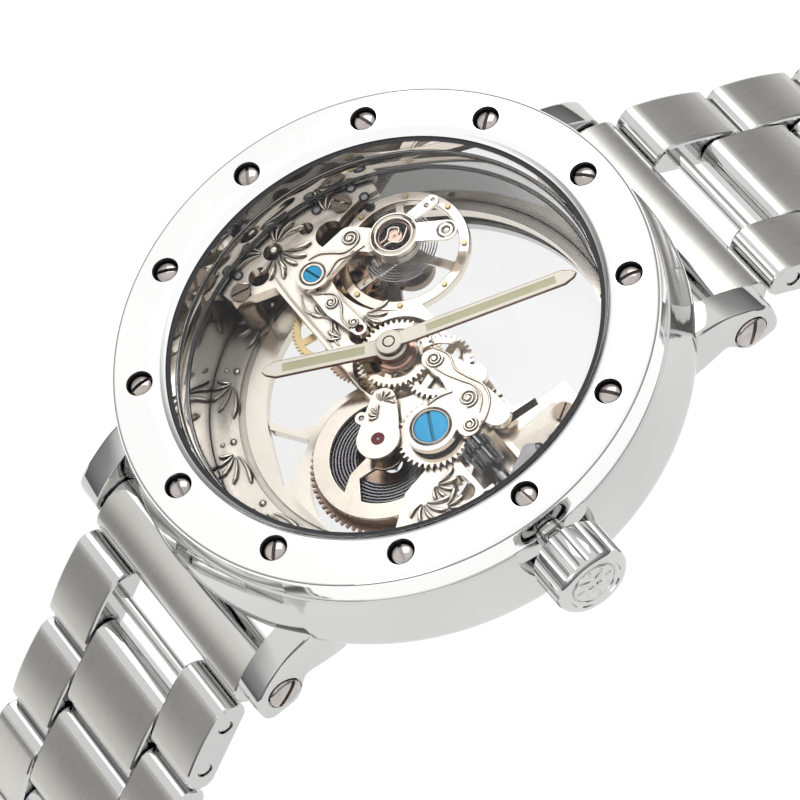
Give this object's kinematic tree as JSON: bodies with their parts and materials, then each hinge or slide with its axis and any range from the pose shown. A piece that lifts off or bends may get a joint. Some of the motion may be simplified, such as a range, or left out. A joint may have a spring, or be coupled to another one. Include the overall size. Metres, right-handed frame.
{
  "type": "wristwatch",
  "caption": "Men's mechanical wristwatch with a see-through bridge movement, screwed round bezel, fluted crown and three-row steel bracelet.",
  "frame": {"origin": "middle of the case back's outer face", "axes": "+Z out of the dial, +X to the crown at 3 o'clock, +Y to 12 o'clock"},
  "size_m": [0.047, 0.1063, 0.072],
  "materials": {
    "polished_steel": "mirror-polished stainless steel",
    "screw_steel": "domed and polished steel",
    "sapphire": "flat polished sapphire",
    "gasket": "moulded",
    "inner_steel": "polished, smoky",
    "gilt_plate": "pale champagne gilding",
    "pink_gilt": "rose gilding",
    "blued_steel": "heat-blued steel",
    "ruby": "polished synthetic ruby",
    "wheel_brass": "gilt brass",
    "gilt_wheel": "gilt, dark toothed",
    "spring_steel": "tempered",
    "ivory_hand": "ivory lacquer with cream lume",
    "satin_steel": "satin tops, polished edges"
  },
  "bodies": {
    "case": {"mid_case": "polished_steel", "bezel": "polished_steel", "bezel_screws": "screw_steel", "crystal": "sapphire", "case_gaskets": "gasket", "rehaut": "inner_steel", "casing_ring": "inner_steel", "case_back": "polished_steel", "back_crystal": "sapphire", "crown_tube": "polished_steel", "lug_bars": "polished_steel", "main_plate": "gilt_plate", "long_bridge": "gilt_plate", "train_plate": "gilt_plate", "train_bridge": "gilt_plate", "barrel_bridge": "gilt_plate", "balance_cock": "gilt_plate", "shock_setting": "pink_gilt", "pillars": "screw_steel", "blue_screws": "blued_steel", "jewels": "ruby"},
    "regulator": {"regulator": "gilt_plate"},
    "barrel": {"barrel_drum": "gilt_wheel", "barrel_cover": "gilt_plate", "mainspring": "spring_steel"},
    "ratchet": {"barrel_arbor": "spring_steel", "ratchet_wheel": "gilt_wheel"},
    "crown_wheel": {"crown_wheel": "gilt_wheel"},
    "centre": {"centre_wheel": "gilt_wheel"},
    "third": {"third_wheel": "gilt_wheel"},
    "fourth": {"fourth_wheel": "wheel_brass"},
    "escape": {"escape_wheel": "gilt_wheel"},
    "pallet": {"pallet_fork": "spring_steel"},
    "balance": {"balance_wheel": "wheel_brass", "hairspring": "spring_steel"},
    "cannon": {"cannon_pinion": "pink_gilt", "minute_hand": "ivory_hand"},
    "minute_wheel": {"minute_wheel": "gilt_wheel"},
    "hour": {"hour_wheel": "pink_gilt", "hour_hand": "ivory_hand"},
    "winding": {"winding_pinion": "spring_steel"},
    "crown": {"crown": "polished_steel", "stem": "spring_steel"},
    "clutch": {"clutch_wheel": "spring_steel"},
    "setting_lever": {"setting_lever": "screw_steel"},
    "click": {"click": "screw_steel"},
    "end_link_12": {"end_link_12": "satin_steel"},
    "link_12_1": {"link_12_1": "satin_steel"},
    "link_12_2": {"link_12_2": "satin_steel"},
    "link_12_3": {"link_12_3": "satin_steel"},
    "link_12_4": {"link_12_4": "satin_steel"},
    "link_12_5": {"link_12_5": "satin_steel"},
    "end_link_6": {"end_link_6": "satin_steel"},
    "link_6_1": {"link_6_1": "satin_steel"},
    "link_6_2": {"link_6_2": "satin_steel"},
    "link_6_3": {"link_6_3": "satin_steel"},
    "link_6_4": {"link_6_4": "satin_steel"},
    "clasp_cover": {"clasp_cover": "satin_steel"},
    "clasp_blade_outer": {"clasp_blade_outer": "satin_steel"},
    "clasp_blade_inner": {"clasp_blade_inner": "satin_steel"}
  },
  "joints": [
    {"name": "seconds_arbor_turn", "type": "hinge", "parent": "case", "child": "fourth", "pos_m": [-0.0073, -0.0017, 0.0065], "axis": [0, 0, 1], "continuous": true},
    {"name": "third_wheel_turn", "type": "hinge", "parent": "case", "child": "third", "pos_m": [-0.0037, -0.0008, 0.007], "axis": [0, 0, 1], "continuous": true},
    {"name": "centre_wheel_turn", "type": "hinge", "parent": "case", "child": "centre", "pos_m": [0, 0, 0.008], "axis": [0, 0, 1], "continuous": true},
    {"name": "barrel_turn", "type": "hinge", "parent": "case", "child": "barrel", "pos_m": [0.005, -0.005, 0.0065], "axis": [0, 0, 1], "continuous": true},
    {"name": "escape_wheel_turn", "type": "hinge", "parent": "case", "child": "escape", "pos_m": [-0.0096, 0.0012, 0.0058], "axis": [0, 0, 1], "continuous": true},
    {"name": "pallet_rock", "type": "hinge", "parent": "case", "child": "pallet", "pos_m": [-0.00854, 0.00374, 0.0058], "axis": [0, 0, 1], "range_deg": [-6, 6]},
    {"name": "balance_swing", "type": "hinge", "parent": "case", "child": "balance", "pos_m": [-0.0078, 0.0055, 0.0075], "axis": [0, 0, 1], "range_deg": [-270, 270], "stiffness_Nm_per_rad": 0.0000024},
    {"name": "regulator_shift", "type": "hinge", "parent": "case", "child": "regulator", "pos_m": [-0.0078, 0.0055, 0.0075], "axis": [0, 0, 1], "range_deg": [-8, 8]},
    {"name": "minute_hand_turn", "type": "hinge", "parent": "case", "child": "cannon", "pos_m": [0, 0, 0.008], "axis": [0, 0, 1], "continuous": true},
    {"name": "minute_wheel_turn", "type": "hinge", "parent": "case", "child": "minute_wheel", "pos_m": [0.0029, 0.00177, 0.0089], "axis": [0, 0, 1], "continuous": true},
    {"name": "hour_hand_turn", "type": "hinge", "parent": "case", "child": "hour", "pos_m": [0, 0, 0.008], "axis": [0, 0, 1], "continuous": true},
    {"name": "crown_turn", "type": "hinge", "parent": "case", "child": "winding", "pos_m": [0.015, 0, 0.009], "axis": [1, 0, 0], "continuous": true},
    {"name": "crown_wheel_turn", "type": "hinge", "parent": "case", "child": "crown_wheel", "pos_m": [0.0073, -0.0016, 0.0089], "axis": [0, 0, 1], "continuous": true},
    {"name": "ratchet_turn", "type": "hinge", "parent": "case", "child": "ratchet", "pos_m": [0.005, -0.005, 0.0065], "axis": [0, 0, 1], "continuous": true},
    {"name": "crown_pull", "type": "slide", "parent": "winding", "child": "crown", "axis": [1, 0, 0], "range_m": [0, 0.0012]},
    {"name": "clutch_shift", "type": "slide", "parent": "winding", "child": "clutch", "axis": [1, 0, 0], "range_m": [0, 0.0007]},
    {"name": "setting_lever_turn", "type": "hinge", "parent": "case", "child": "setting_lever", "pos_m": [0.0139, 0.0026, 0.0097], "axis": [0, 0, 1], "range_deg": [0, 20]},
    {"name": "click_lift", "type": "hinge", "parent": "case", "child": "click", "pos_m": [0.00275, -0.00495, 0.0088], "axis": [0, 0, -1], "range_deg": [0, 10], "stiffness_Nm_per_rad": 0.00002},
    {"name": "end_link_12_swing", "type": "hinge", "parent": "case", "child": "end_link_12", "pos_m": [0, 0.02128, 0.0021], "axis": [-1, 0, 0], "range_deg": [-5, 8]},
    {"name": "link_12_1_bend", "type": "hinge", "parent": "end_link_12", "child": "link_12_1", "pos_m": [0, 0.0266, 0.00006], "axis": [-1, 0, 0], "range_deg": [-8, 9]},
    {"name": "link_12_2_bend", "type": "hinge", "parent": "link_12_1", "child": "link_12_2", "pos_m": [0, 0.03348, -0.00494], "axis": [-1, 0, 0], "range_deg": [-8, 9]},
    {"name": "link_12_3_bend", "type": "hinge", "parent": "link_12_2", "child": "link_12_3", "pos_m": [0, 0.04035, -0.00994], "axis": [-1, 0, 0], "range_deg": [-8, 9]},
    {"name": "link_12_4_bend", "type": "hinge", "parent": "link_12_3", "child": "link_12_4", "pos_m": [0, 0.04626, -0.01605], "axis": [-1, 0, 0], "range_deg": [-8, 9]},
    {"name": "link_12_5_bend", "type": "hinge", "parent": "link_12_4", "child": "link_12_5", "pos_m": [0, 0.05051, -0.02341], "axis": [-1, 0, 0], "range_deg": [-8, 9]},
    {"name": "end_link_6_swing", "type": "hinge", "parent": "case", "child": "end_link_6", "pos_m": [0, -0.02128, 0.0021], "axis": [1, 0, 0], "range_deg": [-5, 8]},
    {"name": "link_6_1_bend", "type": "hinge", "parent": "end_link_6", "child": "link_6_1", "pos_m": [0, -0.02611, -0.00092], "axis": [1, 0, 0], "range_deg": [-8, 9]},
    {"name": "link_6_2_bend", "type": "hinge", "parent": "link_6_1", "child": "link_6_2", "pos_m": [0, -0.03223, -0.00683], "axis": [1, 0, 0], "range_deg": [-8, 9]},
    {"name": "link_6_3_bend", "type": "hinge", "parent": "link_6_2", "child": "link_6_3", "pos_m": [0, -0.03834, -0.01273], "axis": [1, 0, 0], "range_deg": [-8, 9]},
    {"name": "link_6_4_bend", "type": "hinge", "parent": "link_6_3", "child": "link_6_4", "pos_m": [0, -0.04334, -0.01961], "axis": [1, 0, 0], "range_deg": [-8, 9]},
    {"name": "clasp_swing", "type": "hinge", "parent": "link_6_4", "child": "clasp_cover", "pos_m": [0, -0.04652, -0.02749], "axis": [1, 0, 0], "range_deg": [-8, 9]},
    {"name": "clasp_outer_blade_open", "type": "hinge", "parent": "clasp_cover", "child": "clasp_blade_outer", "pos_m": [0, -0.05031, -0.05695], "axis": [-1, 0, 0], "range_deg": [0, 120]},
    {"name": "clasp_inner_blade_open", "type": "hinge", "parent": "clasp_blade_outer", "child": "clasp_blade_inner", "pos_m": [0, -0.04686, -0.0331], "axis": [1, 0, 0], "range_deg": [0, 135]}
  ],
  "couplings": [
    {"joint": "third_wheel_turn", "follows": "seconds_arbor_turn", "ratio": -0.14286},
    {"joint": "centre_wheel_turn", "follows": "seconds_arbor_turn", "ratio": 0.029762},
    {"joint": "barrel_turn", "follows": "seconds_arbor_turn", "ratio": -0.005787},
    {"joint": "escape_wheel_turn", "follows": "seconds_arbor_turn", "ratio": -7.5},
    {"joint": "minute_wheel_turn", "follows": "minute_hand_turn", "ratio": -0.33333},
    {"joint": "hour_hand_turn", "follows": "minute_hand_turn", "ratio": 0.083333},
    {"joint": "crown_wheel_turn", "follows": "crown_turn", "ratio": 0.38889},
    {"joint": "ratchet_turn", "follows": "crown_turn", "ratio": -0.77778},
    {"joint": "clutch_shift", "follows": "crown_pull", "ratio": 0.58},
    {"joint": "setting_lever_turn", "follows": "crown_pull", "rad_per_m": 290.6}
  ]
}
